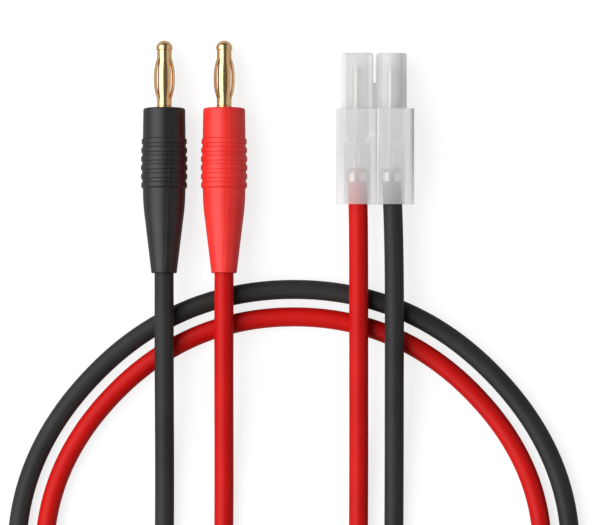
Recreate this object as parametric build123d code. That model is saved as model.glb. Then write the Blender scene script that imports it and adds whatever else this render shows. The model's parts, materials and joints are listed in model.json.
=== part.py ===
from build123d import *
from math import cos, hypot, pi, radians, sin, tan
import os

# Charging lead: two 4 mm lantern-spring plugs, black and red, each with a ribbed
# moulded grip, and two stranded wires that join them to a two-pole battery
# connector with crimped pin contacts. It lies flat on a surface, as it is put down.
# Frame: origin under the middle of the plugs and the connector, +Z up, +Y towards
# the tips of the plugs. Sizes are in millimetres.

# ---- layout of the plugs and the connector ----
half_span = 27.3            # from the origin to the outer side of the black grip and of the housing
plug_pitch = 11.98          # between the axes of the two plugs
plug_tilt = 3.1             # degrees: each wire runs over the others, which lifts the grip's tail
overlap = 1.0               # how far a shape reaches into what carries it, and a cut past its faces

# ---- wire ----
wire_diameter = 3.85        # over the jacket
conductor_diameter = 2.06   # bundle of fine strands, 2.5 square mm
jacket_gap = 0.1            # between the bundle and the jacket, radial
jacket_back = 0.3           # from the rim of the solder cup to the jacket
bundle_start = 0.7          # solder under the end of the bundle
end_gap = 0.1               # past either end of the bundle
bundle_rest = 0.03          # between the bundle and the metal that holds it, radial
floor_gap = 0.005           # under a wire that lies on the surface
crossing_gap = 0.37         # between two wires where one passes over the other
straight_out = 2.9          # a wire runs on from the grip's tail by this much before it bends

# ---- plug pin: stations are measured from the tip of the dome ----
head_radius = 1.63
head_length = 1.94
head_edge = 0.15            # bevel under the head
core_radius = 1.2
shoulder_start = 13.3
shoulder_radius = 1.6
shoulder_length = 0.9
barrel_radius = 2.2
barrel_length = 8.0
barb_radius = 2.5           # collar that locks the barrel into the grip
barb_length = 1.6
cup_radius = 2.2
cup_bore = 1.45
cup_length = 8.5
cup_depth = 7.2
cup_cut = 4.0               # length of the slanted opening at the mouth of the cup
drill_point = 0.8           # depth of the cone at the floor of the cup
solder_depth = 6.7          # of the solder in the cup

# ---- lantern spring ----
spring_wall = 0.22
spring_running_gap = 0.05   # radial, it turns freely on the core
spring_end_gap = 0.08       # to the head and to the shoulder
spring_collar = 1.7         # length of each plain collar
spring_bulge = 0.63         # how far the leaves stand out past the collars
leaf_root = 2.0             # width of a leaf at its two ends
leaf_middle = 2.34          # and halfway
slot_margin = 0.15          # length of a collar that the slots cut into
spring_phase = 6            # degrees by which the spring has turned from a leaf straight on top
root_bend = 4.0             # radius of the bend where a leaf leaves its collar
flank_reach = 1.45          # the leaves' straight flanks would meet this many bulges out

# ---- grip ----
plug_length = 46.4          # tip of the pin to the end of the grip's tail
grip_setback = 0.08         # of the grip's front behind the shoulder's
grip_front_radius = 4.2
grip_neck_radius = 4.26     # just before the rings
grip_barrel_radius = 4.44   # under the middle rings
ring_height = 0.22
ring_width = 1.14
ring_pitch = 1.76
ring_count = 6
first_ring = 20.25          # station of the first ring's middle
taper_start = 29.9
taper_drop = 0.44           # the taper bends in by this much
taper_bend = 6.1            # over this length, and then runs straight to the tail
taper_early = 0.26          # share of the drop that is reached halfway along the bend
tail_radius = 2.56
front_edge = 0.4            # rounding of the front rim
tail_edge = 0.15
grip_fit = 0.05             # between the grip's bores and what they hold, radial
step_gap = 0.1              # lengthwise, at the steps of those bores

# ---- two-pole connector ----
housing_width = 15.6
housing_length = 19.1
housing_height = 7.6
catch_height = 1.2
catch_width = 4.2
catch_rear = 4.3            # distance of the catch's steep face from the housing's middle
catch_front = 8.3
catch_flat = 0.5
left_chamfer = 0.55
right_round = 1.1
groove_offset = 0.37        # of the lengthwise groove from the housing's middle
groove_width = 0.6
groove_depth = 0.25
pole_pitch = 6.83
first_pole = 4.29           # from the housing's left side to the axis of the square pole
tube_length = 11.1
square_tube = 6.3           # outside width of the square tube
square_edge = 0.4
round_tube = 6.1            # outside diameter of the round tube
tube_mouth = 0.3            # bevel of both mouths
web_length = 5.2
web_low = 2.7               # the web stands this far to this far under the axes
web_high = 0.3
front_bore = 4.5            # diameter round the pins
seat_front = 4.0            # front of the seat wall, from the housing's middle
seat_thickness = 1.1
seat_fit = 0.12             # between the contact and the hole in the seat wall, radial
rear_gap = 0.275            # between the insulation crimp and its chamber, radial

# ---- crimped contact ----
pin_radius = 1.05
pin_length = 6.6
tip_rounding = 0.68
flare_length = 2.0
contact_barrel = 1.5        # radius
pin_setback = 2.5           # from the mouth of the tube to the tip of the pin
sheet = 0.35                # thickness of the strip that the contact is folded from
flange_radius = 2.3
flange_gap = 0.1            # to the rear of the seat wall
lance_width = 1.3
lance_reach = 2.05          # radius at the free end
lance_length = 3.4
lance_gap = 0.12            # from its free end to the seat wall
lance_sheet = 0.3
lance_heel = 1.0            # from the root's outer side back to its inner side
crimp_neck = 0.9            # between the flange and the first crimp
neck_rise = 0.3             # the barrel is open there above this height over the axis
crimp_length = 3.8
grip_crimp_gap = 1.0        # bare stretch between the two crimps
grip_crimp_length = 1.8
crimp_fit = 0.1             # round the jacket, radial
jacket_reach = 0.4          # of the jacket past the insulation crimp
seam_width = 0.35
strip_width = 1.8           # floor between the crimps
strip_sheet = 0.3
strip_gap = 0.05            # under the bundle
strip_lap = 0.3             # of the floor with each crimp

# ---- derived places ----
wire_radius = wire_diameter / 2
conductor_radius = conductor_diameter / 2
tilt = radians(plug_tilt)
spring_top = head_length + spring_end_gap
spring_radius = core_radius + spring_running_gap + spring_wall
spring_bottom = shoulder_start - spring_end_gap
grip_front = shoulder_start + grip_setback
barrel_start = shoulder_start + shoulder_length
cup_start = barrel_start + barrel_length
cup_end = cup_start + cup_length
cup_floor = cup_end - cup_depth
barb_start = cup_start - barb_length
jacket_start = cup_end + jacket_back
ring_stations = [first_ring + ring_pitch * i for i in range(ring_count)]
barrel_middle = first_ring + ring_pitch * 3


def grip_base(station):
    """Radius of the slightly barrelled surface that carries the rings."""
    drop = grip_barrel_radius - grip_neck_radius
    off_middle = (station - barrel_middle) / (barrel_middle - first_ring + 1)
    return grip_barrel_radius - drop * off_middle ** 2


grip_radius = max(grip_base(s) for s in ring_stations) + ring_height
plug_span = plug_length * cos(tilt) + tail_radius * sin(tilt)
tip_y = plug_span / 2
# the plug lies on whichever comes lowest: the front rim of the grip or one of its rings
resting = [(grip_front_radius, grip_front + front_edge)]
resting += [(grip_base(s) + ring_height, s) for s in ring_stations]
tip_z = max(radius * cos(tilt) - station * sin(tilt) for radius, station in resting)
black_x = grip_radius - half_span
red_x = black_x + plug_pitch

housing_x = half_span - housing_width / 2
housing_left = half_span - housing_width
square_x = housing_left + first_pole
round_x = square_x + pole_pitch
pole_z = catch_height + housing_height / 2
front_y = housing_length / 2
mouth_y = front_y + tube_length
pin_tip_y = mouth_y - pin_setback
seat_rear_y = seat_front - seat_thickness
flange_y = seat_rear_y - flange_gap
crimp_y = flange_y - sheet - crimp_neck
crimp_end_y = crimp_y - crimp_length
grip_crimp_y = crimp_end_y - grip_crimp_gap
contact_end_y = grip_crimp_y - grip_crimp_length
jacket_end_y = grip_crimp_y + jacket_reach
crimp_bore = wire_radius + crimp_fit
rear_bore = 2 * (crimp_bore + sheet + rear_gap)


def on_plug(x, station):
    """A point of the plug's tilted axis, by its distance from the tip."""
    return (x, tip_y - station * cos(tilt), tip_z + station * sin(tilt))


def place_plug(solid, x):
    """Lays a plug's piece, made with its tip up at the origin, along its tilted axis."""
    return Location((x, tip_y, tip_z), (-90 - plug_tilt, 0, 0)) * solid


def turned(outline):
    """Turns a closed outline of (radius, station) curves about the plug's axis."""
    face = make_face(Plane.XZ * outline)
    return revolve(face, Axis.Z)


def polyline(points):
    return Polyline(*[(radius, -station) for radius, station in points])


def arc(start, middle, end):
    return ThreePointArc(*[(radius, -station) for radius, station in (start, middle, end)])


# ---- routes of the two wires ----
# From each plug a wire runs down, round to the right, over the top of the arch to the
# left, round again and up into the connector. It lies on the surface, and passes over
# the other stretches in low humps.
lying = wire_radius + floor_gap     # height of a wire's middle
hump = lying + wire_diameter + crossing_gap

black_route = [
    on_plug(black_x, jacket_start),
    on_plug(black_x, plug_length + straight_out),
    (-22.6, -45.5, hump),
    (-22.6, -64.0, lying),
    (-22.7, -83.0, lying),
    (-20.0, -101.5, hump),
    (5.5, -123.5, hump),
    (36.0, -123.0, lying),
    (58.7, -99.5, lying),
    (58.8, -59.1, lying),
    (26.3, -26.6, lying),
    (-19.7, -26.6, lying),
    (-52.2, -59.1, lying),
    (-52.3, -99.6, lying),
    (-30.2, -121.8, lying),
    (1.1, -121.8, lying),
    (23.2, -99.6, lying),
    (23.4, -66.0, lying),
    (23.35, -45.5, hump),
    (23.4, -25.5, hump),
    (round_x + 0.35, -12.0, pole_z),
    (round_x, -5.5, pole_z),
    (round_x, jacket_end_y, pole_z),
]

red_route = [
    on_plug(red_x, jacket_start),
    on_plug(red_x, plug_length + straight_out),
    (-10.7, -45.5, hump),
    (-10.7, -64.0, lying),
    (-10.8, -82.5, lying),
    (-9.0, -101.0, hump),
    (11.5, -118.6, hump),
    (35.0, -117.3, lying),
    (52.9, -97.5, lying),
    (53.3, -61.4, lying),
    (24.0, -32.1, lying),
    (-17.4, -32.1, lying),
    (-46.7, -61.4, lying),
    (-46.7, -98.5, lying),
    (-28.3, -116.9, lying),
    (-2.3, -116.9, lying),
    (16.1, -98.5, lying),
    (16.3, -66.0, lying),
    (16.25, -45.5, hump),
    (16.25, -25.5, hump),
    (square_x + 0.2, -12.0, pole_z),
    (square_x, -5.5, pole_z),
    (square_x, jacket_end_y, pole_z),
]


def corner_radii(points):
    """Largest even bend at each corner: it takes 0.45 of the shorter run beside it."""
    radii = []
    for before, corner, after in zip(points, points[1:], points[2:]):
        run_in = Vector(corner) - Vector(before)
        run_out = Vector(after) - Vector(corner)
        turn = radians(run_in.get_angle(run_out))
        radii.append(0.45 * min(run_in.length, run_out.length) / tan(turn / 2))
    return radii


def wire_path(points):
    return FilletPolyline(*points, radius=corner_radii(points))


def swept(section, path):
    """Carries a section along the path: straight runs are extruded and bends are turned."""
    spans = []
    for edge in path.edges():
        face = Plane(edge @ 0, z_dir=edge % 0) * section
        if edge.geom_type == GeomType.LINE:
            spans.append(extrude(face, edge.length))
            continue
        spoke = edge @ 0 - edge.arc_center
        hinge = Axis(edge.arc_center, spoke.cross(edge % 0))
        spans.append(revolve(face, hinge, edge.length / edge.radius * 180 / pi))
    return spans[0].fuse(*spans[1:])


def jacket(points):
    """Tube of insulation from the plug's cup to the connector's crimp."""
    bore = conductor_radius + jacket_gap
    return swept(Circle(wire_radius) - Circle(bore), wire_path(points))


def conductor(points, far_x):
    """Strand bundle: it stands out of both ends of the jacket, into the cup and the crimp."""
    x = points[0][0]
    cup_point = on_plug(x, cup_floor + bundle_start + end_gap)
    crimp_point = (far_x, crimp_y - end_gap, pole_z)
    longer = [cup_point] + points[1:-1] + [crimp_point]
    return swept(Circle(conductor_radius), wire_path(longer))


# ---- plug ----
def plug_pin():
    """Turned pin: domed head, core for the spring, shoulder, barbed barrel, solder cup."""
    outline = [
        arc((0, 0), (0.92, 0.28), (1.47, 0.86)),
        arc((1.47, 0.86), (1.6, 1.12), (head_radius, 1.4)),
        polyline([
            (head_radius, 1.4),
            (head_radius, head_length - head_edge),
            (head_radius - head_edge, head_length),
            (core_radius, head_length),
            (core_radius, shoulder_start),
            (shoulder_radius, shoulder_start),
            (shoulder_radius, barrel_start),
            (barrel_radius, barrel_start),
            (barrel_radius, barb_start),
            (barb_radius, barb_start),
            (barrel_radius, cup_start),
            (cup_radius, cup_end),
            (cup_bore, cup_end),
            (cup_bore, cup_floor),
            (0, cup_floor - drill_point),
            (0, 0),
        ]),
    ]
    pin = turned(Curve() + outline)
    # slanted opening on one side of the cup, where the solder goes in
    slant = Polyline(
        (-2 * cup_radius, -cup_end),
        (0, -cup_end),
        (-2 * cup_radius, 2 * cup_cut - cup_end),
        close=True,
    )
    wedge = extrude(Plane.YZ * make_face(slant), 2 * cup_radius, both=True)
    return pin - wedge


def spring_line(radius):
    """Side of the spring's wall: a collar, the bowed leaves and the other collar."""
    top = spring_top + spring_collar
    bottom = spring_bottom - spring_collar
    half = (bottom - top) / 2
    apex = spring_bulge * flank_reach
    slope = hypot(half, apex) / half
    crown = (apex - spring_bulge) / (slope - 1)
    stations = [(radius, spring_top), (radius, top), (radius + apex, top + half)]
    stations += [(radius, bottom), (radius, spring_bottom)]
    return FilletPolyline(*[(r, -s) for r, s in stations], radius=[root_bend, crown, root_bend])


def lantern_spring():
    """Rolled sheet with four bowed leaves between two collars."""
    outer = spring_line(spring_radius)
    inner = spring_line(spring_radius - spring_wall)
    ends = Line(outer @ 0, inner @ 0) + Line(outer @ 1, inner @ 1)
    wall = turned(outer + inner + ends)
    top = spring_top + spring_collar - slot_margin
    length = spring_bottom - spring_collar + slot_margin - top
    reach = spring_radius + spring_bulge + 1
    root, middle = leaf_root / 2, leaf_middle / 2
    outline = Polyline(
        (-root, -length / 2),
        (-middle, 0),
        (-root, length / 2),
        (root, length / 2),
        (middle, 0),
        (root, -length / 2),
        close=True,
    )
    pair = extrude(Plane.XZ * make_face(outline), reach, both=True)
    leaves = pair + Rot(0, 0, 90) * pair
    slots = Pos(0, 0, -(top + length / 2)) * (Cylinder(reach, length) - leaves)
    return Rot(0, 0, spring_phase) * (wall - slots)


def grip():
    """Moulded grip: plain front, six rings on a barrelled middle, tapered tail."""
    line = [
        Line((shoulder_radius + grip_fit, -grip_front), (grip_front_radius - front_edge, -grip_front)),
        RadiusArc(
            (grip_front_radius - front_edge, -grip_front),
            (grip_front_radius, -grip_front - front_edge),
            front_edge,
        ),
    ]
    last = (grip_front_radius, grip_front + front_edge)
    for station in ring_stations:
        start = (grip_base(station - ring_width / 2), station - ring_width / 2)
        crest = (grip_base(station) + ring_height, station)
        end = (grip_base(station + ring_width / 2), station + ring_width / 2)
        line += [polyline([last, start]), arc(start, crest, end)]
        last = end
    line += [
        polyline([last, (grip_neck_radius, taper_start)]),
        arc(
            (grip_neck_radius, taper_start),
            (grip_neck_radius - taper_drop * taper_early, taper_start + taper_bend / 2),
            (grip_neck_radius - taper_drop, taper_start + taper_bend),
        ),
        polyline([
            (grip_neck_radius - taper_drop, taper_start + taper_bend),
            (tail_radius, plug_length - tail_edge),
            (tail_radius - tail_edge, plug_length),
            (wire_radius + grip_fit, plug_length),
            (wire_radius + grip_fit, cup_end + step_gap),
            (cup_radius + grip_fit, cup_end + step_gap),
            (cup_radius + grip_fit, cup_start),
            (barb_radius + grip_fit, barb_start),
            (barb_radius + grip_fit, barb_start - step_gap),
            (barrel_radius + grip_fit, barb_start - step_gap),
            (barrel_radius + grip_fit, barrel_start - grip_fit),
            (shoulder_radius + grip_fit, barrel_start - grip_fit),
            (shoulder_radius + grip_fit, grip_front),
        ]),
    ]
    return turned(Curve() + line)


def solder():
    """Solder that fills the cup round the end of the strand bundle."""
    top = (Align.CENTER, Align.CENTER, Align.MAX)
    fill = Cylinder(cup_bore - bundle_rest, solder_depth, align=top)
    hollow = Cylinder(conductor_radius + bundle_rest, solder_depth, align=top)
    return Pos(0, 0, -cup_floor - bundle_rest) * (fill - Pos(0, 0, -bundle_start) * hollow)


# ---- two-pole connector ----
def across(radius, y0, y1, x):
    """Round rod along Y from y0 to y1, on the axis of the pole at x."""
    rod = Cylinder(radius, y1 - y0)
    return Location((x, (y0 + y1) / 2, pole_z), (90, 0, 0)) * rod


def tube(x, square):
    """Outside of one tube, bevelled at its mouth."""
    root = front_y - overlap
    side = RectangleRounded(square_tube, square_tube, square_edge)
    section = side if square else Circle(round_tube / 2)
    base = Plane((x, root, pole_z), x_dir=(1, 0, 0), z_dir=(0, 1, 0))
    body = extrude(base * section, mouth_y - root)
    return chamfer(body.faces().sort_by(Axis.Y)[-1].edges(), tube_mouth)


def housing():
    """Nylon body with its two tubes, the web between them, the latch catch and both chambers."""
    body = Pos(housing_x, 0, pole_z) * Box(housing_width, housing_length, housing_height)
    long_edges = body.edges().filter_by(Axis.Y).sort_by(Axis.X)
    body = chamfer(long_edges[:2], left_chamfer)
    body = fillet(body.edges().filter_by(Axis.Y).sort_by(Axis.X)[-2:], right_round)
    # groove along the top
    notch = Polyline(
        (-groove_width, groove_depth),
        (0, -groove_depth),
        (groove_width, groove_depth),
        close=True,
    )
    crest = (housing_x + groove_offset, 0, pole_z + housing_height / 2)
    along = Plane(crest, x_dir=(1, 0, 0), z_dir=(0, -1, 0))
    body -= extrude(along * make_face(notch), housing_length, both=True)
    web = Box(pole_pitch, web_length + overlap, web_low - web_high)
    web_y = front_y + (web_length - overlap) / 2
    body += Pos((square_x + round_x) / 2, web_y, pole_z - (web_low + web_high) / 2) * web
    body += tube(square_x, True) + tube(round_x, False)
    ramp = Polyline(
        (catch_rear, catch_height + overlap),
        (catch_rear, 0),
        (catch_rear + catch_flat, 0),
        (catch_front, catch_height),
        (catch_front, catch_height + overlap),
        close=True,
    )
    body += Pos(housing_x, 0, 0) * extrude(Plane.YZ * make_face(ramp), catch_width / 2, both=True)
    for x in (square_x, round_x):
        body -= across(front_bore / 2, seat_front, mouth_y + overlap, x)
        body -= across(contact_barrel + seat_fit, seat_rear_y - overlap, seat_front + overlap, x)
        body -= across(rear_bore / 2, -front_y - overlap, seat_rear_y, x)
    return body


def folded(bore, y0, y1, x):
    """Crimp: strip folded round the wire, with its seam on top."""
    outer = bore + sheet
    ring = across(outer, y0, y1, x) - across(bore, y0 - overlap, y1 + overlap, x)
    seam = Box(seam_width, y1 - y0 + overlap, outer)
    return ring - Pos(x, (y0 + y1) / 2, pole_z + outer) * seam


def rolled_pin():
    """Domed pin and the hollow barrel behind it, with the flange, turned about Y."""
    flare_y = pin_tip_y - pin_length
    barrel_y = flare_y - flare_length
    outline = Curve() + [
        Line((0, pin_tip_y), (pin_radius - tip_rounding, pin_tip_y)),
        RadiusArc(
            (pin_radius - tip_rounding, pin_tip_y),
            (pin_radius, pin_tip_y - tip_rounding),
            tip_rounding,
        ),
        Polyline(
            (pin_radius, pin_tip_y - tip_rounding),
            (pin_radius, flare_y),
            (contact_barrel, barrel_y),
            (contact_barrel, flange_y),
            (flange_radius, flange_y),
            (flange_radius, flange_y - sheet),
            (contact_barrel, flange_y - sheet),
            (contact_barrel, crimp_y),
            (contact_barrel - sheet, crimp_y),
            (contact_barrel - sheet, barrel_y),
            (0, flare_y),
            (0, pin_tip_y),
        ),
    ]
    return revolve(make_face(outline), Axis.Y)


def lance():
    """Blade bent out of the barrel: it hooks in front of the seat wall."""
    tip = seat_front + lance_gap
    root = tip + lance_length
    blade = Polyline(
        (contact_barrel - lance_sheet, root + lance_sheet),
        (contact_barrel, root),
        (lance_reach, tip),
        (lance_reach - lance_sheet, tip),
        (contact_barrel - lance_sheet, root - lance_heel),
        close=True,
    )
    return extrude(make_face(blade), lance_width / 2, both=True)


def strip_floor():
    """Floor of the strip between the two crimps: it steps down past the end of the jacket."""
    high = -conductor_radius - bundle_rest - strip_gap
    low = -crimp_bore - sheet
    knee = jacket_end_y + end_gap
    outline = Polyline(
        (crimp_end_y + strip_lap, high),
        (crimp_end_y + strip_lap, high - strip_sheet),
        (knee, low),
        (grip_crimp_y - strip_lap, low),
        (grip_crimp_y - strip_lap, low + strip_sheet),
        (knee, low + strip_sheet),
        close=True,
    )
    return extrude(Plane.YZ * make_face(outline), strip_width / 2, both=True)


def contact(x):
    """Pin contact folded from strip: pin, barrel open on top at its rear, two lances, two crimps."""
    blade = lance()
    solid = rolled_pin() + blade + mirror(blade, Plane.YZ) + strip_floor()
    window = Box(2 * flange_radius, crimp_neck, contact_barrel)
    window_y = crimp_y + crimp_neck / 2
    solid -= Pos(0, window_y, neck_rise + contact_barrel / 2) * window
    solid = Pos(x, 0, pole_z) * solid
    solid += folded(conductor_radius + bundle_rest, crimp_end_y, crimp_y, x)
    return solid + folded(crimp_bore, contact_end_y, grip_crimp_y, x)


# ---- build ----
def build():
    pieces = {"connector_housing": housing()}
    for colour, x, far_x, route in (
        ("black", black_x, round_x, black_route),
        ("red", red_x, square_x, red_route),
    ):
        pieces[colour + "_pin"] = place_plug(plug_pin(), x)
        pieces[colour + "_spring"] = place_plug(lantern_spring(), x)
        pieces[colour + "_grip"] = place_plug(grip(), x)
        pieces[colour + "_solder"] = place_plug(solder(), x)
        pieces[colour + "_wire"] = jacket(route)
        pieces[colour + "_conductor"] = conductor(route, far_x)
        pieces[colour + "_contact"] = contact(far_x)
        radii = corner_radii(route)
        length = wire_path(route).length
        section = pi * (wire_radius ** 2 - (conductor_radius + jacket_gap) ** 2)
        print(colour, "wire: length", round(length, 1), "mm, corner radii", [round(r, 1) for r in radii])
        print(
            colour, "wire: volume", round(pieces[colour + "_wire"].volume, 1),
            "mm3, section times length", round(section * length, 1),
        )
    return pieces


os.makedirs("parts", exist_ok=True)
for name, solid in build().items():
    export_step(solid, f"parts/{name}.step")
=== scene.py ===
import bmesh
import bpy
import json
import math
import numpy as np
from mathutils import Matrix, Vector


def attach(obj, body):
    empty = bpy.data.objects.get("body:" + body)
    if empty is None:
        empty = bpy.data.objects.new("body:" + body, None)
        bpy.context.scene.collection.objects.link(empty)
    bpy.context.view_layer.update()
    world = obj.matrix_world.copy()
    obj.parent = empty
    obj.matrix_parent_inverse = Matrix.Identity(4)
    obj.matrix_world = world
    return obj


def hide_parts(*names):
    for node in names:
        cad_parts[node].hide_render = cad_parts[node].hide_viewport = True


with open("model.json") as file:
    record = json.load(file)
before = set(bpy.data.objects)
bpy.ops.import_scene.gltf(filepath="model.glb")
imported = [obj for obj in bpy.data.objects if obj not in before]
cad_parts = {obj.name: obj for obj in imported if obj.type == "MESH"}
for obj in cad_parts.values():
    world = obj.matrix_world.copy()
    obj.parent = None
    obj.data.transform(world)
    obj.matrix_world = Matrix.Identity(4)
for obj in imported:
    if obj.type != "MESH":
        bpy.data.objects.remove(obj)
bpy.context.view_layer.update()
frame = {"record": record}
mm = 0.001
leadBody = "lead"
joints = {joint["name"]: joint for joint in frame["record"]["behaviour"]["joints"]}
mounts = {mount["name"]: mount for mount in frame["record"]["mounts"]}


def gridFaces(rows, columns, closeRows=False, closeColumns=True):
    # quads of a grid of points, wrapped round where a direction closes on itself
    row, column = np.meshgrid(
        np.arange(rows if closeRows else rows - 1),
        np.arange(columns if closeColumns else columns - 1),
        indexing="ij",
    )
    nextRow, nextColumn = (row + 1) % rows, (column + 1) % columns
    corners = [row * columns + column, row * columns + nextColumn]
    corners += [nextRow * columns + nextColumn, nextRow * columns + column]
    return np.stack(corners, axis=-1).reshape(-1, 4)


def putMesh(name, points, faces, finish, sharpAngle=35):
    # welds the seams and poles, turns the faces outwards and marks the sharp edges
    mesh = bpy.data.meshes.new(name)
    mesh.from_pydata(np.asarray(points).reshape(-1, 3).tolist(), [], np.asarray(faces).tolist())
    shape = bmesh.new()
    shape.from_mesh(mesh)
    bmesh.ops.remove_doubles(shape, verts=shape.verts, dist=1e-6)
    bmesh.ops.dissolve_degenerate(shape, edges=shape.edges, dist=1e-7)
    bmesh.ops.recalc_face_normals(shape, faces=shape.faces)
    shape.to_mesh(mesh)
    shape.free()
    mesh.shade_smooth()
    mesh.set_sharp_from_angle(angle=math.radians(sharpAngle))
    mesh.materials.append(finish)
    piece = bpy.data.objects.new(name, mesh)
    bpy.context.scene.collection.objects.link(piece)
    return piece


def joinShells(shells):
    # several (points, faces) shells as one set of points and faces
    points, faces, count = [], [], 0
    for shellPoints, shellFaces in shells:
        shellPoints = np.asarray(shellPoints).reshape(-1, 3)
        points.append(shellPoints)
        faces.append(np.asarray(shellFaces) + count)
        count += len(shellPoints)
    return np.concatenate(points), np.concatenate(faces)


def addModifier(piece, kind, **settings):
    modifier = piece.modifiers.new(kind.lower(), kind)
    for key, value in settings.items():
        setattr(modifier, key, value)
    return modifier


def bakeModifiers(piece):
    # replaces the mesh by what its modifiers make of it
    graph = bpy.context.evaluated_depsgraph_get()
    finished = bpy.data.meshes.new_from_object(piece.evaluated_get(graph))
    old = piece.data
    piece.modifiers.clear()
    piece.data = finished
    bpy.data.meshes.remove(old)


def stand(piece, body, slot, *replaced):
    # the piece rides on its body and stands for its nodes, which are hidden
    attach(piece, body)
    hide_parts(*replaced)


def newGroup(name, inputs, outputs):
    group = bpy.data.node_groups.new(name, "ShaderNodeTree")
    for label, value in inputs:
        socket = group.interface.new_socket(label, in_out="INPUT", socket_type="NodeSocketFloat")
        socket.default_value = value
    for label, kind in outputs:
        group.interface.new_socket(label, in_out="OUTPUT", socket_type="NodeSocket" + kind)
    return group, group.nodes.new("NodeGroupInput"), group.nodes.new("NodeGroupOutput")


def addNode(tree, kind, **settings):
    node = tree.nodes.new("ShaderNode" + kind)
    for key, value in settings.items():
        setattr(node, key, value)
    return node


def makeSkinGrain():
    # fine grain of a moulded skin: a cloudy mask, and a bump of two noises of different size
    group, given, result = newGroup(
        "skinGrain",
        [("Scale", 1500.0), ("Height", 0.2), ("Cloud Scale", 160.0)],
        [("Cloud", "Float"), ("Normal", "Vector")],
    )
    place = addNode(group, "TexCoord")
    fine = addNode(group, "TexNoise")
    fine.inputs["Detail"].default_value = 3.0
    cloud = addNode(group, "TexNoise")
    cloud.inputs["Detail"].default_value = 2.0
    bump = addNode(group, "Bump")
    bump.inputs["Distance"].default_value = 0.00004
    link = group.links.new
    link(place.outputs["Object"], fine.inputs["Vector"])
    link(place.outputs["Object"], cloud.inputs["Vector"])
    link(given.outputs["Scale"], fine.inputs["Scale"])
    link(given.outputs["Cloud Scale"], cloud.inputs["Scale"])
    link(given.outputs["Height"], bump.inputs["Strength"])
    link(fine.outputs["Fac"], bump.inputs["Height"])
    link(cloud.outputs["Fac"], result.inputs["Cloud"])
    link(bump.outputs["Normal"], result.inputs["Normal"])
    return group


skinGrain = makeSkinGrain()


def newFinish(name, settings):
    # a material with one Principled shader and its plain values
    finish = bpy.data.materials.new(name)
    finish.use_nodes = True
    shader = finish.node_tree.nodes["Principled BSDF"]
    for label, value in settings.items():
        shader.inputs[label].default_value = value
    return finish, finish.node_tree, shader


def grainyFinish(name, dark, light, roughness, settings, grain):
    # moulded plastic: the colour drifts between two close shades, the roughness with it
    finish, tree, shader = newFinish(name, settings)
    group = addNode(tree, "Group", node_tree=skinGrain)
    for label, value in grain.items():
        group.inputs[label].default_value = value
    shades = addNode(tree, "ValToRGB")
    shades.color_ramp.elements[0].position = 0.35
    shades.color_ramp.elements[1].position = 0.65
    shades.color_ramp.elements[0].color = (*dark, 1)
    shades.color_ramp.elements[1].color = (*light, 1)
    rough = addNode(tree, "MapRange")
    rough.inputs["To Min"].default_value = roughness[0]
    rough.inputs["To Max"].default_value = roughness[1]
    link = tree.links.new
    link(group.outputs["Cloud"], shades.inputs["Fac"])
    link(group.outputs["Cloud"], rough.inputs["Value"])
    link(shades.outputs["Color"], shader.inputs["Base Color"])
    link(rough.outputs["Result"], shader.inputs["Roughness"])
    link(group.outputs["Normal"], shader.inputs["Normal"])
    return finish


gripGrain = {"Scale": 2600.0, "Height": 0.35, "Cloud Scale": 220.0}
jacketGrain = {"Scale": 900.0, "Height": 0.12, "Cloud Scale": 90.0}
finishes = {
    "blackGrip": grainyFinish(
        "blackGripVinyl", (0.007, 0.007, 0.0072), (0.011, 0.011, 0.0112), (0.40, 0.48),
        {"Specular IOR Level": 0.5}, gripGrain,
    ),
    "redGrip": grainyFinish(
        "redGripVinyl", (0.84, 0.020, 0.014), (0.90, 0.028, 0.020), (0.40, 0.48),
        {"Specular IOR Level": 0.5}, gripGrain,
    ),
    "blackJacket": grainyFinish(
        "blackJacketVinyl", (0.024, 0.024, 0.0236), (0.030, 0.030, 0.0295), (0.44, 0.54),
        {"Specular IOR Level": 0.2}, jacketGrain,
    ),
    "redJacket": grainyFinish(
        "redJacketVinyl", (0.55, 0.002, 0.001), (0.62, 0.004, 0.002), (0.44, 0.54),
        {"Specular IOR Level": 0.2}, jacketGrain,
    ),
}


def metalFinish(name, colour, tint, roughness, scale=700.0):
    # plated metal: faint streaks of a second tint, and a roughness that follows them
    finish, tree, shader = newFinish(name, {"Metallic": 1.0})
    place = addNode(tree, "TexCoord")
    stretch = addNode(tree, "Mapping")
    stretch.inputs["Scale"].default_value = (3.0, 0.6, 3.0)
    streaks = addNode(tree, "TexNoise")
    streaks.inputs["Scale"].default_value = scale
    streaks.inputs["Detail"].default_value = 3.0
    shades = addNode(tree, "ValToRGB")
    shades.color_ramp.elements[0].position = 0.3
    shades.color_ramp.elements[1].position = 0.7
    shades.color_ramp.elements[0].color = (*colour, 1)
    shades.color_ramp.elements[1].color = (*tint, 1)
    rough = addNode(tree, "MapRange")
    rough.inputs["To Min"].default_value = roughness[0]
    rough.inputs["To Max"].default_value = roughness[1]
    link = tree.links.new
    link(place.outputs["Object"], stretch.inputs["Vector"])
    link(stretch.outputs["Vector"], streaks.inputs["Vector"])
    link(streaks.outputs["Fac"], shades.inputs["Fac"])
    link(streaks.outputs["Fac"], rough.inputs["Value"])
    link(shades.outputs["Color"], shader.inputs["Base Color"])
    link(rough.outputs["Result"], shader.inputs["Roughness"])
    return finish


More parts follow.
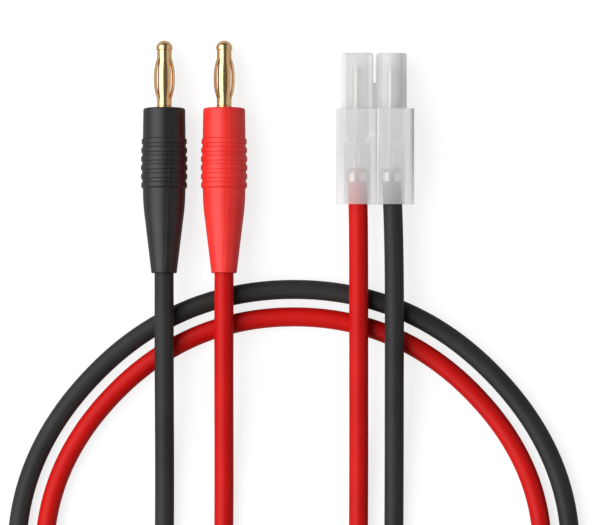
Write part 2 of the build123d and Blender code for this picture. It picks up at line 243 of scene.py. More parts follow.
finishes["gold"] = metalFinish("goldPlate", (0.90, 0.58, 0.26), (0.94, 0.64, 0.32), (0.16, 0.24))
finishes["springGold"] = metalFinish("springGoldPlate", (0.90, 0.56, 0.25), (0.94, 0.62, 0.31), (0.14, 0.22))
finishes["copper"] = metalFinish("bareStrands", (0.86, 0.46, 0.26), (0.92, 0.56, 0.34), (0.3, 0.4))
finishes["solder"] = metalFinish("solderFill", (0.60, 0.60, 0.61), (0.68, 0.68, 0.68), (0.35, 0.5))
finishes["contact"] = metalFinish("contactPlate", (0.84, 0.80, 0.70), (0.88, 0.85, 0.78), (0.2, 0.3))
print("materials made")


cameraPlan = {
    "target": (0.00452, -0.0212),   # straight down over this point
    "height": 1.2,
    "sharpHeight": 0.0047,          # level that the frame's width is measured at
    "frameWidth": 0.12,
}
cameraData = bpy.data.cameras.new("viewCamera")
cameraData.sensor_width = 36.0
drop = cameraPlan["height"] - cameraPlan["sharpHeight"]
cameraData.lens = cameraData.sensor_width * drop / cameraPlan["frameWidth"]
cameraData.clip_start = 0.01
cameraData.clip_end = 10.0
camera = bpy.data.objects.new("viewCamera", cameraData)
camera.location = (*cameraPlan["target"], cameraPlan["height"])
bpy.context.scene.collection.objects.link(camera)
bpy.context.scene.camera = camera
print("camera set")


wire = {"diameter": 0.00385, "lying": 0.00193, "hump": 0.00615}
lying, hump = wire["lying"], wire["hump"]
routes = {
    "black": [
        (-0.02264, -0.00772, 0.00513),
        (-0.02264, -0.02599, 0.00611),
        (-0.0226, -0.0455, hump),
        (-0.0226, -0.064, lying),
        (-0.0227, -0.083, lying),
        (-0.02, -0.1015, hump),
        (0.0055, -0.1235, hump),
        (0.036, -0.123, lying),
        (0.0587, -0.0995, lying),
        (0.0588, -0.0591, lying),
        (0.0263, -0.0266, lying),
        (-0.0197, -0.0266, lying),
        (-0.0522, -0.0591, lying),
        (-0.0523, -0.0996, lying),
        (-0.0302, -0.1218, lying),
        (0.0011, -0.1218, lying),
        (0.0232, -0.0996, lying),
        (0.0234, -0.066, lying),
        (0.02335, -0.0455, hump),
        (0.0234, -0.0255, hump),
        (0.02317, -0.012, 0.005),
        (0.02282, -0.0055, 0.005),
        (0.02282, -0.00285, 0.005),
    ],
    "red": [
        (-0.01066, -0.00772, 0.00513),
        (-0.01066, -0.02599, 0.00611),
        (-0.0107, -0.0455, hump),
        (-0.0107, -0.064, lying),
        (-0.0108, -0.0825, lying),
        (-0.009, -0.101, hump),
        (0.0115, -0.1186, hump),
        (0.035, -0.1173, lying),
        (0.0529, -0.0975, lying),
        (0.0533, -0.0614, lying),
        (0.024, -0.0321, lying),
        (-0.0174, -0.0321, lying),
        (-0.0467, -0.0614, lying),
        (-0.0467, -0.0985, lying),
        (-0.0283, -0.1169, lying),
        (-0.0023, -0.1169, lying),
        (0.0161, -0.0985, lying),
        (0.0163, -0.066, lying),
        (0.01625, -0.0455, hump),
        (0.01625, -0.0255, hump),
        (0.01619, -0.012, 0.005),
        (0.01599, -0.0055, 0.005),
        (0.01599, -0.00285, 0.005),
    ],
}


def makeWire(colour):
    # one smooth NURBS line through the air from the plug's cup to the connector's crimp
    curve = bpy.data.curves.new(colour + "Wire", "CURVE")
    curve.dimensions = "3D"
    curve.resolution_u = 20
    curve.bevel_depth = wire["diameter"] / 2
    curve.bevel_resolution = 9
    curve.use_fill_caps = True
    spline = curve.splines.new("NURBS")
    spline.points.add(len(routes[colour]) - 1)
    for point, place in zip(spline.points, routes[colour]):
        point.co = (*place, 1.0)
    spline.order_u = 3
    spline.use_endpoint_u = True
    curve.materials.append(finishes[colour + "Jacket"])
    piece = bpy.data.objects.new(colour + "Wire", curve)
    bpy.context.scene.collection.objects.link(piece)
    stand(piece, leadBody, colour + "_jacket", colour + "_wire")


for colour in routes:
    makeWire(colour)
print("wires laid")


# lengths in these dictionaries are millimetres; points become metres where they are placed
plug = {
    "turnPlace": 7.6,       # from the tip to the joint's place on the axis
    "shoulder": 13.3,
    "barrelStart": 14.2,
    "cupStart": 22.2,
    "cupEnd": 30.7,
    "cupDepth": 7.2,
    "jacketStart": 31.0,
    "fit": 0.05,
}


def axisFrame(colour):
    # tip of the plug, the direction towards it, and the direction away from the floor
    joint = joints[colour + "_spring_turn"]
    along = np.array(joint["axis"]) / np.linalg.norm(joint["axis"])
    tip = np.array(joint["pos_m"]) + mm * plug["turnPlace"] * along
    return tip, along, np.cross((1, 0, 0), along)


def onPlug(colour, stations, radii, angles):
    # stations count back from the tip; angles go from the top towards +X
    tip, along, up = axisFrame(colour)
    stations, radii, angles = np.broadcast_arrays(stations, radii, angles)
    rise = (mm * radii * np.cos(angles))[..., None] * up
    side = (mm * radii * np.sin(angles))[..., None] * np.array((1, 0, 0))
    return tip - (mm * stations)[..., None] * along + rise + side


def arcThrough(start, middle, end, steps=10):
    # points on the circle through three points
    a, b, c = complex(*start), complex(*middle), complex(*end)
    ratio = (c - a) / (b - a)
    centre = a + (b - a) * (ratio - abs(ratio) ** 2) / (2j * ratio.imag)
    turn = np.angle((c - centre) / (a - centre)) % math.tau
    if ratio.imag < 0:
        turn -= math.tau
    swung = centre + (a - centre) * np.exp(1j * turn * np.linspace(0, 1, steps + 1))
    return [(point.real, point.imag) for point in swung]


def refined(profile, step):
    # the same line with points at most a step apart
    fine = [profile[0]]
    for start, end in zip(profile, profile[1:]):
        parts = max(1, math.ceil(math.dist(start, end) / step))
        fine += [tuple(np.add(start, np.subtract(end, start) * k / parts)) for k in range(1, parts + 1)]
    return np.array(fine)


def ringOfAngles(count):
    return np.linspace(0, math.tau, count, endpoint=False)


pinPlan = {
    "headRadius": 1.63,
    "headLength": 1.94,
    "headEdge": 0.15,
    "coreRadius": 1.2,
    "shoulderRadius": 1.6,
    "barrelRadius": 2.2,
    "barbRadius": 2.5,
    "barbLength": 1.6,
    "cupBore": 1.45,
    "floorCone": 0.8,
    "slant": 1.76,          # slope of the cup's slanted opening
    # head from the tip backwards, as (station, radius)
    "dome": ((0, 0), (0.28, 0.92), (0.86, 1.47)),
    "cheek": ((0.86, 1.47), (1.12, 1.6), (1.4, 1.63)),
    "step": 1.0,
    "columns": 96,
}


def makePin(colour):
    # turned pin: a closed profile spun round the axis, the cup's rim cut on a slant
    head, core = pinPlan["headRadius"], pinPlan["coreRadius"]
    barrel, bore = pinPlan["barrelRadius"], pinPlan["cupBore"]
    headEnd, edge = pinPlan["headLength"], pinPlan["headEdge"]
    barb = plug["cupStart"] - pinPlan["barbLength"]
    floor = plug["cupEnd"] - plug["cupDepth"]
    corner = (headEnd - 0.3 * edge, head - 0.3 * edge)
    profile = arcThrough(*pinPlan["dome"]) + arcThrough(*pinPlan["cheek"], 6)
    profile += arcThrough((headEnd - edge, head), corner, (headEnd, head - edge), 4)
    profile += [
        (headEnd, core), (plug["shoulder"], core), (plug["shoulder"], pinPlan["shoulderRadius"]),
        (plug["barrelStart"], pinPlan["shoulderRadius"]), (plug["barrelStart"], barrel), (barb, barrel),
        (barb, pinPlan["barbRadius"]), (plug["cupStart"], barrel), (plug["cupEnd"], barrel),
        (plug["cupEnd"], bore), (floor, bore), (floor - pinPlan["floorCone"], 0),
    ]
    line = refined(profile, pinPlan["step"])
    angles = ringOfAngles(pinPlan["columns"])
    radii = line[:, 1, None] + 0 * angles
    # the slant takes away what stands past a plane that leans back from the top of the mouth
    limit = plug["cupEnd"] - pinPlan["slant"] * np.clip(radii * np.cos(angles), 0, None)
    stations = np.minimum(line[:, 0, None], np.where(line[:, 0, None] > plug["cupStart"], limit, np.inf))
    faces = gridFaces(len(line), len(angles))
    piece = putMesh(colour + "Pin", onPlug(colour, stations, radii, angles), faces, finishes["gold"])
    stand(piece, leadBody, "gold_plate", colour + "_pin")


springPlan = {
    "start": 2.02,
    "end": 13.22,
    "collar": 1.7,
    "slotMargin": 0.15,
    "radius": 1.47,
    "bulge": 0.63,
    "wall": 0.22,
    "phase": math.radians(6),
    "rootHalfWidth": 1.0,   # of a leaf where its slots end
    "widening": 0.17,       # of half a leaf at the middle of its bow
    "bowPower": 1.4,        # above 1 the leaves rise steeply and are flatter in the middle
    "edge": 0.03,
    "step": 0.01,           # from a slot's end to the next row of its collar
    "collarRows": 5,
    "slotRows": 81,
    "leafColumns": 13,
}


def makeSpring(colour):
    # rolled sheet: between the collars the wall bows out and four slots part it into leaves
    plan = springPlan
    slotStart = plan["start"] + plan["collar"] - plan["slotMargin"]
    slotEnd = plan["end"] - plan["collar"] + plan["slotMargin"]
    stations = np.concatenate([
        np.linspace(plan["start"], slotStart - plan["step"], plan["collarRows"]),
        slotStart + (slotEnd - slotStart) * np.linspace(0, 1, plan["slotRows"]),
        np.linspace(slotEnd + plan["step"], plan["end"], plan["collarRows"]),
    ])
    along = np.clip((stations - slotStart) / (slotEnd - slotStart), 0, 1)
    # the bow is one less a power of one less the sine of the way along a slot
    bow = 1 - (1 - np.sin(math.pi * along)) ** plan["bowPower"]
    radii = plan["radius"] + plan["bulge"] * bow
    halfWidth = plan["rootHalfWidth"] + plan["widening"] * bow
    slotted = (stations >= slotStart) & (stations <= slotEnd)
    halfAngle = np.where(slotted, np.minimum(math.pi / 4, np.arcsin(halfWidth / radii)), math.pi / 4)
    across = np.linspace(-1, 1, plan["leafColumns"])
    shells = []
    for quarter in range(4):
        angles = plan["phase"] + quarter * math.pi / 2 + halfAngle[:, None] * across
        points = onPlug(colour, stations[:, None], radii[:, None], angles)
        shells.append((points, gridFaces(len(stations), len(across), closeColumns=False)))
    piece = putMesh(colour + "Spring", *joinShells(shells), finishes["springGold"])
    addModifier(piece, "SOLIDIFY", thickness=mm * plan["wall"], offset=-1.0, use_even_offset=True)
    addModifier(piece, "BEVEL", width=mm * plan["edge"], segments=2, angle_limit=math.radians(50))
    stand(piece, colour + "_spring", "spring_gold", colour + "_spring")


gripPlan = {
    "front": 13.6,
    "frontRadius": 4.2,
    "frontEdge": 0.4,
    "neckRadius": 4.26,
    "barrelRadius": 4.44,
    "firstRing": 20.25,
    "ringPitch": 1.76,
    "ringCount": 6,
    "ringWidth": 1.14,
    "ringHeight": 0.22,
    "ringFlatness": 7,      # the higher, the flatter the ring's top
    "ringSteps": 19,
    "taperStart": 29.9,
    "taperBend": 6.1,
    "taperDrop": 0.44,
    "taperSag": 0.26,       # share of the drop that is reached halfway round the bend
    "tail": 46.6,
    "tailRadius": 2.56,
    "tailEdge": 0.15,
    "ridgeHeight": 0.035,
    "ridgeWidth": 0.1,
    "ridgeFade": 0.6,       # length over which the ridge dies away at each end
    "crowding": 2.2,        # of the columns towards the parting lines
    "relief": 0.1,          # room behind the barb and past the cup
    "outsideStep": 0.5,
    "insideStep": 2.0,
    "partingFront": math.radians(17.7),
    "partingTail": math.radians(7.5),
    "columns": 128,
}


def gripBase(station):
    # slightly barrelled surface that carries the rings
    plan = gripPlan
    middle = plan["firstRing"] + 3 * plan["ringPitch"]
    reach = middle - plan["firstRing"] + 1
    drop = plan["barrelRadius"] - plan["neckRadius"]
    return plan["barrelRadius"] - drop * ((station - middle) / reach) ** 2


def gripOutside():
    # from the front rim over the rings and down the tapered tail, as (station, radius)
    plan = gripPlan
    front, edge = plan["front"], plan["frontEdge"]
    corner = (front + edge * (1 - math.sqrt(0.5)), plan["frontRadius"] - edge * (1 - math.sqrt(0.5)))
    line = arcThrough((front, plan["frontRadius"] - edge), corner, (front + edge, plan["frontRadius"]), 8)
    for ring in range(plan["ringCount"]):
        middle = plan["firstRing"] + ring * plan["ringPitch"]
        # a ring has steep sides and a flat top
        for step in np.sin(np.linspace(-math.pi / 2, math.pi / 2, plan["ringSteps"])):
            station = middle + step * plan["ringWidth"] / 2
            rise = plan["ringHeight"] * (1 - abs(step) ** plan["ringFlatness"])
            line.append((station, gripBase(station) + rise))
    start, length, drop = plan["taperStart"], plan["taperBend"], plan["taperDrop"]
    neck = plan["neckRadius"]
    bend = (start + length / 2, neck - plan["taperSag"] * drop)
    line += arcThrough((start, neck), bend, (start + length, neck - drop), 16)
    tail, radius, edge = plan["tail"], plan["tailRadius"], plan["tailEdge"]
    corner = (tail - edge * (1 - math.sqrt(0.5)), radius - edge * (1 - math.sqrt(0.5)))
    return line + arcThrough((tail - edge, radius), corner, (tail, radius - edge), 6)


def makeGrip(colour):
    # closed profile spun round the axis, with a parting ridge down both sides
    plan, fit = gripPlan, plug["fit"]
    barb = plug["cupStart"] - pinPlan["barbLength"]
    outside = refined(gripOutside(), plan["outsideStep"])
    wireBore, cupBore = 1e3 * wire["diameter"] / 2 + fit, pinPlan["barrelRadius"] + fit
    barbBore, mouthBore = pinPlan["barbRadius"] + fit, pinPlan["shoulderRadius"] + fit
    pastCup, behindBarb = plug["cupEnd"] + plan["relief"], barb - plan["relief"]
    inside = refined([
        (plan["tail"], wireBore), (pastCup, wireBore), (pastCup, cupBore), (plug["cupStart"], cupBore),
        (barb, barbBore), (behindBarb, barbBore), (behindBarb, cupBore),
        (plug["barrelStart"] - fit, cupBore), (plug["barrelStart"] - fit, mouthBore), (plan["front"], mouthBore),
    ], plan["insideStep"])
    line = np.concatenate([outside, inside])
    # columns crowd round the two parting lines, where the ridge needs them
    even = np.linspace(-1, 1, plan["columns"] // 2, endpoint=False)
    half = math.pi / 2 * np.sign(even) * np.abs(even) ** plan["crowding"]
    fromRidge = np.concatenate([half, half + math.pi])
    progress = np.clip((line[:, 0] - plan["front"]) / (plan["tail"] - plan["front"]), 0, 1)
    parting = plan["partingFront"] + (plan["partingTail"] - plan["partingFront"]) * progress
    offLine = line[:, 1, None] * np.abs(np.sin(fromRidge))
    ridge = plan["ridgeHeight"] * np.exp(-(offLine / plan["ridgeWidth"]) ** 2)
    skin = np.arange(len(line)) < len(outside)
    fromEnd = np.minimum(line[:, 0] - plan["front"], plan["tail"] - line[:, 0])
    ends = np.clip(fromEnd / plan["ridgeFade"], 0, 1)
    radii = line[:, 1, None] + ridge * (skin * ends)[:, None]
    angles = fromRidge + parting[:, None]
    points = onPlug(colour, line[:, 0, None], radii, angles)
    faces = gridFaces(len(line), len(fromRidge), closeRows=True)
    piece = putMesh(colour + "Grip", points, faces, finishes[colour + "Grip"], 50)
    stand(piece, leadBody, colour + "_grip", colour + "_grip")


for colour in routes:
    makePin(colour)
    makeSpring(colour)
    makeGrip(colour)
    solder = bpy.data.objects[colour + "_solder"]
    solder.data.materials.clear()
    solder.data.materials.append(finishes["solder"])
print("plugs made")


strandPlan = {
    "bundleRadius": 1.03,
    "lay": 22.0,            # length of one full twist
    "steps": 14,
    "sides": 8,
    "shells": (1, 6, 12),
    "floorGap": 0.8,        # to the floor of the solder cup
    "crimpGap": 0.1,        # to the crimp's front
}


def strandPlaces():
    # one strand in the middle and shells of strands round it, as (radius, angle)
    size = strandPlan["bundleRadius"] / (2 * len(strandPlan["shells"]) - 1)
    places = []
    for shell, count in enumerate(strandPlan["shells"]):
        places += [(2 * size * shell, math.tau * k / count) for k in range(count)]
    return size, places


def strandShells(start, end):
    # twisted strands between two points, each a round tube with closed ends
    start, end = np.array(start), np.array(end)
    axis = (end - start) / np.linalg.norm(end - start)
    right = np.array((1.0, 0, 0))
    up = np.cross(right, axis)
    size, places = strandPlaces()
    steps, sides = strandPlan["steps"], strandPlan["sides"]
    travel = np.linspace(0, 1, steps)
    twist = math.tau * travel * np.linalg.norm(end - start) / (mm * strandPlan["lay"])
    around = ringOfAngles(sides)
    shells = []
    for radius, angle in places:
        offset = np.cos(angle + twist)[:, None] * right + np.sin(angle + twist)[:, None] * up
        middle = start + travel[:, None] * (end - start) + mm * radius * offset
        rim = np.cos(around)[:, None] * right + np.sin(around)[:, None] * up
        rows = middle[:, None, :] + mm * size * rim
        first, last = np.repeat(middle[:1, None], sides, 1), np.repeat(middle[-1:, None], sides, 1)
        rows = np.concatenate([first, rows, last])
        shells.append((rows, gridFaces(len(rows), sides)))
    return shells


connector = {
    "poleHeight": 5.0,
    "poles": {colour: 1e3 * mounts[colour + "_contact_pin"]["pos_m"][0] for colour in routes},
    "left": 11.7,
    "right": 27.3,
    "front": 9.55,
    "bottom": 1.2,
    "top": 8.8,
    "chamfer": 0.55,
    "rounding": 1.1,
    "grooveOffset": 0.37,
    "grooveWidth": 0.6,
    "grooveDepth": 0.25,
    "mouth": 20.65,
    "squareTube": 6.3,
    "squareEdge": 0.4,
    "roundTube": 6.1,
    "mouthBevel": 0.3,
    "webEnd": 14.75,
    "webLow": 2.3,
    "webHigh": 4.7,
    "catchRear": 4.3,
    "catchFlat": 0.5,
    "catchFront": 8.3,
    "catchWidth": 4.2,
    "frontBore": 4.5,
    "seatFront": 4.0,
    "seatRear": 2.9,
    "seatHole": 3.24,
    "rearBore": 5.3,
    "catchRoot": 0.5,       # by which the catch stands in the body
    "lap": 1,               # by which solids run into or past each other
    "edge": 0.1,
}


def onConnector(points):
    return mm * np.asarray(points, dtype=float)


def lofted(outlines, stations):
    # outlines of (x, z) points carried along Y, with both ends closed
    count = len(outlines[0])
    points = [(x, y, z) for outline, y in zip(outlines, stations) for x, z in outline]
    faces = [tuple(face) for face in gridFaces(len(outlines), count)]
    faces += [tuple(range(count)), tuple(range(len(points) - count, len(points)))]
    return onConnector(points), faces


def circleOutline(x, diameter, count=96):
    around = ringOfAngles(count)
    height = connector["poleHeight"]
    return [(x + diameter / 2 * math.cos(a), height + diameter / 2 * math.sin(a)) for a in around]


def boxOutline(left, right, low, high):
    return [(left, low), (right, low), (right, high), (left, high)]


def roundedSquare(x, width, edge):
    # square about a pole's axis with rounded corners
    height, half, points = connector["poleHeight"], width / 2 - edge, []
    for corner in range(4):
        middle = math.pi / 4 + corner * math.pi / 2
        cx, cz = half * math.copysign(1, math.cos(middle)), half * math.copysign(1, math.sin(middle))
        for a in np.linspace(middle - math.pi / 4, middle + math.pi / 4, 7):
            points.append((x + cx + edge * math.cos(a), height + cz + edge * math.sin(a)))
    return points


def bodyOutline():
    # cross-section of the body: chamfered left edges, rounded right edges, groove on top
    plan = connector
    left, right, low, high = plan["left"], plan["right"], plan["bottom"], plan["top"]
    cut, turn = plan["chamfer"], plan["rounding"]
    groove = (left + right) / 2 + plan["grooveOffset"]
    half = plan["grooveWidth"] / 2
    points = [(left + cut, high), (left, high - cut), (left, low + cut), (left + cut, low)]
    quarter = np.linspace(0, math.pi / 2, 9)
    points += [(right - turn + turn * math.sin(a), low + turn - turn * math.cos(a)) for a in quarter]
    points += [(right - turn + turn * math.cos(a), high - turn + turn * math.sin(a)) for a in quarter]
    points += [(groove + half, high), (groove, high - plan["grooveDepth"]), (groove - half, high)]
    return points


def shrunk(outline, x, width, bevel):
    # the outline drawn in towards the pole's axis by a bevel
    scale, height = 1 - 2 * bevel / width, connector["poleHeight"]
    return [(x + (px - x) * scale, height + (pz - height) * scale) for px, pz in outline]


def plainMesh(name, points, faces):
    mesh = bpy.data.meshes.new(name)
    mesh.from_pydata(np.asarray(points).tolist(), [], faces)
    shape = bmesh.new()
    shape.from_mesh(mesh)
    bmesh.ops.recalc_face_normals(shape, faces=shape.faces)
    shape.to_mesh(mesh)
    shape.free()
    piece = bpy.data.objects.new(name, mesh)
    bpy.context.scene.collection.objects.link(piece)
    return piece


def combine(piece, tools, operation):
    # joins solids to the piece or cuts them out of it, then drops them
    for tool in tools:
        addModifier(piece, "BOOLEAN", object=tool, operation=operation, solver="EXACT")
        bakeModifiers(piece)
        bpy.data.objects.remove(tool)


def makeHousing():
    # body, tubes, web and catch as one solid, with each chamber bored from both ends
    plan = connector
    front, mouth, bevel, lap = plan["front"], plan["mouth"], plan["mouthBevel"], plan["lap"]
    squarePole, roundPole = plan["poles"]["red"], plan["poles"]["black"]
    middle, half = (plan["left"] + plan["right"]) / 2, plan["catchWidth"] / 2
    piece = plainMesh("housing", *lofted([bodyOutline()] * 2, (-front, front)))
    squareLine = roundedSquare(squarePole, plan["squareTube"], plan["squareEdge"])
    squareMouth = shrunk(squareLine, squarePole, plan["squareTube"], bevel)
    roundLine = circleOutline(roundPole, plan["roundTube"])
    roundMouth = shrunk(roundLine, roundPole, plan["roundTube"], bevel)
    tubeStations = (front - lap, mouth - bevel, mouth)
    web = boxOutline(squarePole, roundPole, plan["webLow"], plan["webHigh"])
    root = plan["bottom"] + plan["catchRoot"]
    catch = [boxOutline(middle - half, middle + half, low, root) for low in (0.0, 0.0, plan["bottom"])]
    catchStations = (plan["catchRear"], plan["catchRear"] + plan["catchFlat"], plan["catchFront"])
    joined = [
        lofted([squareLine, squareLine, squareMouth], tubeStations),
        lofted([roundLine, roundLine, roundMouth], tubeStations),
        lofted([web] * 2, (front - lap, plan["webEnd"])),
        lofted(catch, catchStations),
    ]
    combine(piece, [plainMesh("joined", *shell) for shell in joined], "UNION")
    bores = []
    for x in (squarePole, roundPole):
        bores += [
            lofted([circleOutline(x, plan["frontBore"])] * 2, (plan["seatFront"], mouth + lap)),
            lofted([circleOutline(x, plan["seatHole"])] * 2, (plan["seatRear"] - lap, plan["seatFront"] + lap)),
            lofted([circleOutline(x, plan["rearBore"])] * 2, (-front - lap, plan["seatRear"])),
        ]
    combine(piece, [plainMesh("bore", *shell) for shell in bores], "DIFFERENCE")
    piece.data.shade_smooth()
    piece.data.set_sharp_from_angle(angle=math.radians(25))
    piece.data.materials.clear()
    piece.data.materials.append(finishes["nylon"])
    addModifier(piece, "BEVEL", width=mm * plan["edge"], segments=2, angle_limit=math.radians(40))
    stand(piece, leadBody, "nylon", "connector_housing")


contactPlan = {
    "tip": 18.15,
    "pinRadius": 1.05,
    "tipRounding": 0.68,
    "flare": 11.55,
    "barrel": 9.55,
    "barrelRadius": 1.5,
    "flangeRadius": 2.3,
    "flange": 2.8,
    "sheet": 0.35,
    "neck": 1.75,
    "crimp": 1.55,
    "crimpRadius": 1.41,
    "crimpEnd": -2.25,
    "gripCrimp": -3.25,
    "gripRadius": 2.375,
    "end": -5.05,
    "lanceRoot": 7.52,
    "lanceTip": 4.12,
    "lanceReach": 2.05,
    "lanceWidth": 1.3,
    "wall": 0.3,
    "bell": 0.1,            # by which the wire crimp is wider at its ends
    "bellLength": 0.4,
    "fold": 0.1,            # length over which the strip's width changes
    "neckFold": 0.15,
    # degrees that the strip reaches round to each side of its middle
    "barrelShare": 178,
    "neckShare": 105,
    "bellShare": 172,
    "crimpShare": 174,
    "floorShares": (95, 70),
    "gripShare": 166,
    "rollDepth": 0.2,       # of the wings that roll down into the strands
    "rollWidth": 0.3,
    "rollEnds": (0.3, 0.1),  # from the crimp's front and rear
    "step": 0.5,
    "columns": 64,
}


def makeContact(colour):
    # one strip rolled up along the pole: pin, barrel and two crimps, each a stretch of its
    # length with its own radius and its own share of the turn; it is open towards the top
    plan = contactPlan
    x = connector["poles"][colour]
    tip, dome = plan["tip"], plan["tipRounding"]
    rows = [
        (tip - dome * (1 - math.cos(a)), plan["pinRadius"] - dome * (1 - math.sin(a)), 180)
        for a in np.linspace(0, math.pi / 2, 9)
    ]
    crimp, crimpEnd, gripCrimp = plan["crimp"], plan["crimpEnd"], plan["gripCrimp"]
    narrow, wide = plan["crimpRadius"], plan["crimpRadius"] + plan["bell"]
    fold, frontFloor, rearFloor = plan["fold"], *plan["floorShares"]
    rows += [
        (plan["flare"], plan["pinRadius"], plan["barrelShare"]),
        (plan["barrel"], plan["barrelRadius"], plan["barrelShare"]),
        (plan["neck"], plan["barrelRadius"], plan["barrelShare"]),
        (plan["neck"] - plan["neckFold"], plan["barrelRadius"], plan["neckShare"]),
        (crimp - fold, wide, plan["neckShare"]),
        (crimp - 2 * fold, wide, plan["bellShare"]),
        (crimp - 2 * fold - plan["bellLength"], narrow, plan["crimpShare"]),
        (crimpEnd + plan["bellLength"], narrow, plan["crimpShare"]),
        (crimpEnd, wide, plan["bellShare"]),
        (crimpEnd - fold, wide, frontFloor),
        (gripCrimp + fold, plan["gripRadius"], rearFloor),
        (gripCrimp, plan["gripRadius"], plan["gripShare"]),
        (plan["end"], plan["gripRadius"], plan["gripShare"]),
    ]
    fine = [np.array(rows[0])]
    for first, second in zip(rows, rows[1:]):
        parts = max(1, math.ceil(abs(second[0] - first[0]) / plan["step"]))
        fine += [np.array(first) + (np.array(second) - first) * k / parts for k in range(1, parts + 1)]
    stations, radii, shares = np.array(fine).T
    across = np.linspace(-1, 1, plan["columns"])
    angles = math.pi + np.radians(shares)[:, None] * across
    # in the crimps the two wings roll down into the strands beside the seam
    frontEnd, rearEnd = plan["rollEnds"]
    crimped = (stations < crimp - frontEnd) & (stations > crimpEnd + rearEnd)
    fromSeam = (1 - np.abs(across)) * math.pi
    roll = plan["rollDepth"] * np.exp(-(fromSeam / plan["rollWidth"]) ** 2)
    around = radii[:, None] * (1 - crimped[:, None] * roll)
    height = connector["poleHeight"]
    points = np.stack([
        x + around * np.sin(angles), stations[:, None] + 0 * angles, height + around * np.cos(angles),
    ], axis=-1)
    piece = putMesh(
        colour + "Contact", onConnector(points), gridFaces(len(stations), len(across), closeColumns=False),
        finishes["contact"],
    )
    addModifier(piece, "SOLIDIFY", thickness=mm * plan["wall"], offset=-1.0)
    bakeModifiers(piece)
    reach, half, wall = plan["lanceReach"], plan["lanceWidth"] / 2, plan["wall"]
    root, inner = plan["barrelRadius"], plan["barrelRadius"] - wall
    flange = [circleOutline(x, 2 * plan["flangeRadius"], plan["columns"])] * 2
    extras = [lofted(flange, (plan["flange"] - plan["sheet"], plan["flange"]))]
    for side in (-1, 1):
        outlines = [
            boxOutline(*sorted((x + side * (out - wall), x + side * out)), height - half, height + half)
            for out in (reach, root, inner)
        ]
        extras.append(lofted(outlines, (plan["lanceTip"], plan["lanceRoot"], plan["lanceRoot"] + wall)))
    for shell in extras:
        part = plainMesh("extra", *shell)
        joined = bmesh.new()
        joined.from_mesh(piece.data)
        joined.from_mesh(part.data)
        joined.to_mesh(piece.data)
        joined.free()
        bpy.data.objects.remove(part)
    piece.data.shade_smooth()
    piece.data.set_sharp_from_angle(angle=math.radians(35))
    stand(piece, leadBody, "contact_plate", colour + "_contact")


def makeStrands(colour):
    # the bundle shows bare at both ends: in the solder cup and in the crimp
    cup = onPlug(colour, plug["cupEnd"] - plug["cupDepth"] + strandPlan["floorGap"], 0, 0)
    jacket = onPlug(colour, plug["jacketStart"], 0, 0)
    pole = mm * connector["poles"][colour]
    height = mm * connector["poleHeight"]
    jacketEnd = (pole, routes[colour][-1][1], height)
    crimpStart = (pole, mm * (contactPlan["crimp"] - strandPlan["crimpGap"]), height)
    shells = strandShells(jacket, cup) + strandShells(jacketEnd, crimpStart)
    piece = putMesh(colour + "Strands", *joinShells(shells), finishes["copper"])
    stand(piece, leadBody, "copper", colour + "_conductor")


nylonPlan = {
    "start": -9.55,
    "end": 20.65,
    # place from the rear end to the tubes' mouths, and how much the nylon veils there
    "veil": ((0.0, 0.34), (0.14, 0.46), (0.40, 0.74), (0.62, 0.76), (0.65, 0.50), (1.0, 0.50)),
}


def makeNylon():
    # hazy natural nylon: thick walls veil what is inside, thin ones show it
    finish, tree, shader = newFinish("naturalNylon", {
        "Base Color": (0.84, 0.84, 0.85, 1), "Roughness": 0.3, "Transmission Weight": 0.2, "IOR": 1.4,
    })
    place = addNode(tree, "TexCoord")
    parts = addNode(tree, "SeparateXYZ")
    along = addNode(tree, "MapRange")
    along.inputs["From Min"].default_value = mm * nylonPlan["start"]
    along.inputs["From Max"].default_value = mm * nylonPlan["end"]
    veil = addNode(tree, "ValToRGB")
    stops = veil.color_ramp.elements
    while len(stops) < len(nylonPlan["veil"]):
        stops.new(0.5)
    for stop, (position, amount) in zip(stops, nylonPlan["veil"]):
        stop.position = position
        stop.color = (amount, amount, amount, 1)
    link = tree.links.new
    link(place.outputs["Object"], parts.inputs["Vector"])
    link(parts.outputs["Y"], along.inputs["Value"])
    link(along.outputs["Result"], veil.inputs["Fac"])
    link(veil.outputs["Color"], shader.inputs["Alpha"])
    return finish


finishes["nylon"] = makeNylon()

makeHousing()
for colour in routes:
    makeContact(colour)
    makeStrands(colour)
print("connector made")


studio = {
    "floorSize": 4.0,
    "floorColour": (0.30, 0.30, 0.30),
    "floorSeen": 0.80,      # added where the floor is looked at, straight or through the nylon
    "floorMirrored": 0.25,  # added where metal and gloss show it
    "worldStrength": 0.12,
    # name: direction as (lean from straight up, turn from +X), distance, size, radiance
    "panels": {
        "leftPanel": ((44, 180), 1.2, (3.0, 1.40), 2.6),
        "rightPanel": ((60, 0), 1.2, (2.4, 1.0), 0.45),
    },
}


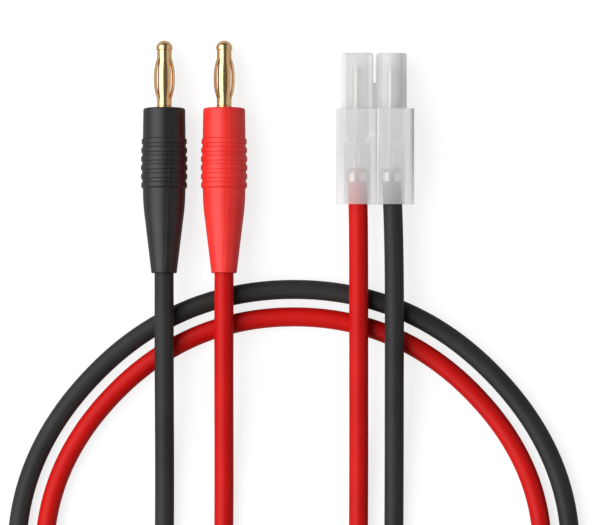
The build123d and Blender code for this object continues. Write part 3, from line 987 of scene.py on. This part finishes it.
def litWhenSeen(tree, direct, reflected):
    # strength for what looks straight at a surface, and for what meets it by a mirror
    rays = addNode(tree, "LightPath")
    seen = addNode(tree, "Math", operation="MAXIMUM")
    straight = addNode(tree, "Math", operation="MULTIPLY")
    mirrored = addNode(tree, "Math", operation="MULTIPLY_ADD")
    straight.inputs[1].default_value = direct
    mirrored.inputs[1].default_value = reflected
    link = tree.links.new
    link(rays.outputs["Is Camera Ray"], seen.inputs[0])
    link(rays.outputs["Is Transmission Ray"], seen.inputs[1])
    link(seen.outputs[0], straight.inputs[0])
    link(rays.outputs["Is Glossy Ray"], mirrored.inputs[0])
    link(straight.outputs[0], mirrored.inputs[2])
    return mirrored.outputs[0]


def makeFloor():
    # grey floor that keeps its shadows; what looks at it also sees a lift to white
    half = studio["floorSize"] / 2
    corners = [(-half, -half, 0), (half, -half, 0), (half, half, 0), (-half, half, 0)]
    mesh = bpy.data.meshes.new("floor")
    mesh.from_pydata(corners, [], [(0, 1, 2, 3)])
    floor = bpy.data.objects.new("floor", mesh)
    bpy.context.scene.collection.objects.link(floor)
    finish, tree, shader = newFinish("floorPaper", {
        "Base Color": (*studio["floorColour"], 1), "Roughness": 0.9, "Emission Color": (1, 1, 1, 1),
        "Specular IOR Level": 0.0,
    })
    strength = litWhenSeen(tree, studio["floorSeen"], studio["floorMirrored"])
    tree.links.new(strength, shader.inputs["Emission Strength"])
    mesh.materials.append(finish)


def makeLights():
    world = bpy.data.worlds.new("studio")
    world.use_nodes = True
    tree = world.node_tree
    sky = tree.nodes["Background"]
    sky.inputs["Color"].default_value = (1, 1, 1, 1)
    around = addNode(tree, "Math", operation="ADD")
    around.inputs[1].default_value = studio["worldStrength"]
    tree.links.new(litWhenSeen(tree, 1 - studio["worldStrength"], 0.0), around.inputs[0])
    tree.links.new(around.outputs[0], sky.inputs["Strength"])
    bpy.context.scene.world = world
    for name, ((lean, turn), distance, (length, height), radiance) in studio["panels"].items():
        lamp = bpy.data.lights.new(name, "AREA")
        lamp.shape = "RECTANGLE"
        lamp.size, lamp.size_y = length, height
        lamp.energy = radiance * math.pi * length * height
        lean, turn = math.radians(lean), math.radians(turn)
        towards = Vector((math.sin(lean) * math.cos(turn), math.sin(lean) * math.sin(turn), math.cos(lean)))
        panel = bpy.data.objects.new(name, lamp)
        panel.location = distance * towards
        panel.rotation_euler = (-towards).to_track_quat("-Z", "Y").to_euler()
        bpy.context.scene.collection.objects.link(panel)


makeFloor()
makeLights()
bpy.context.scene.view_settings.view_transform = "Standard"
print("floor and lights set")
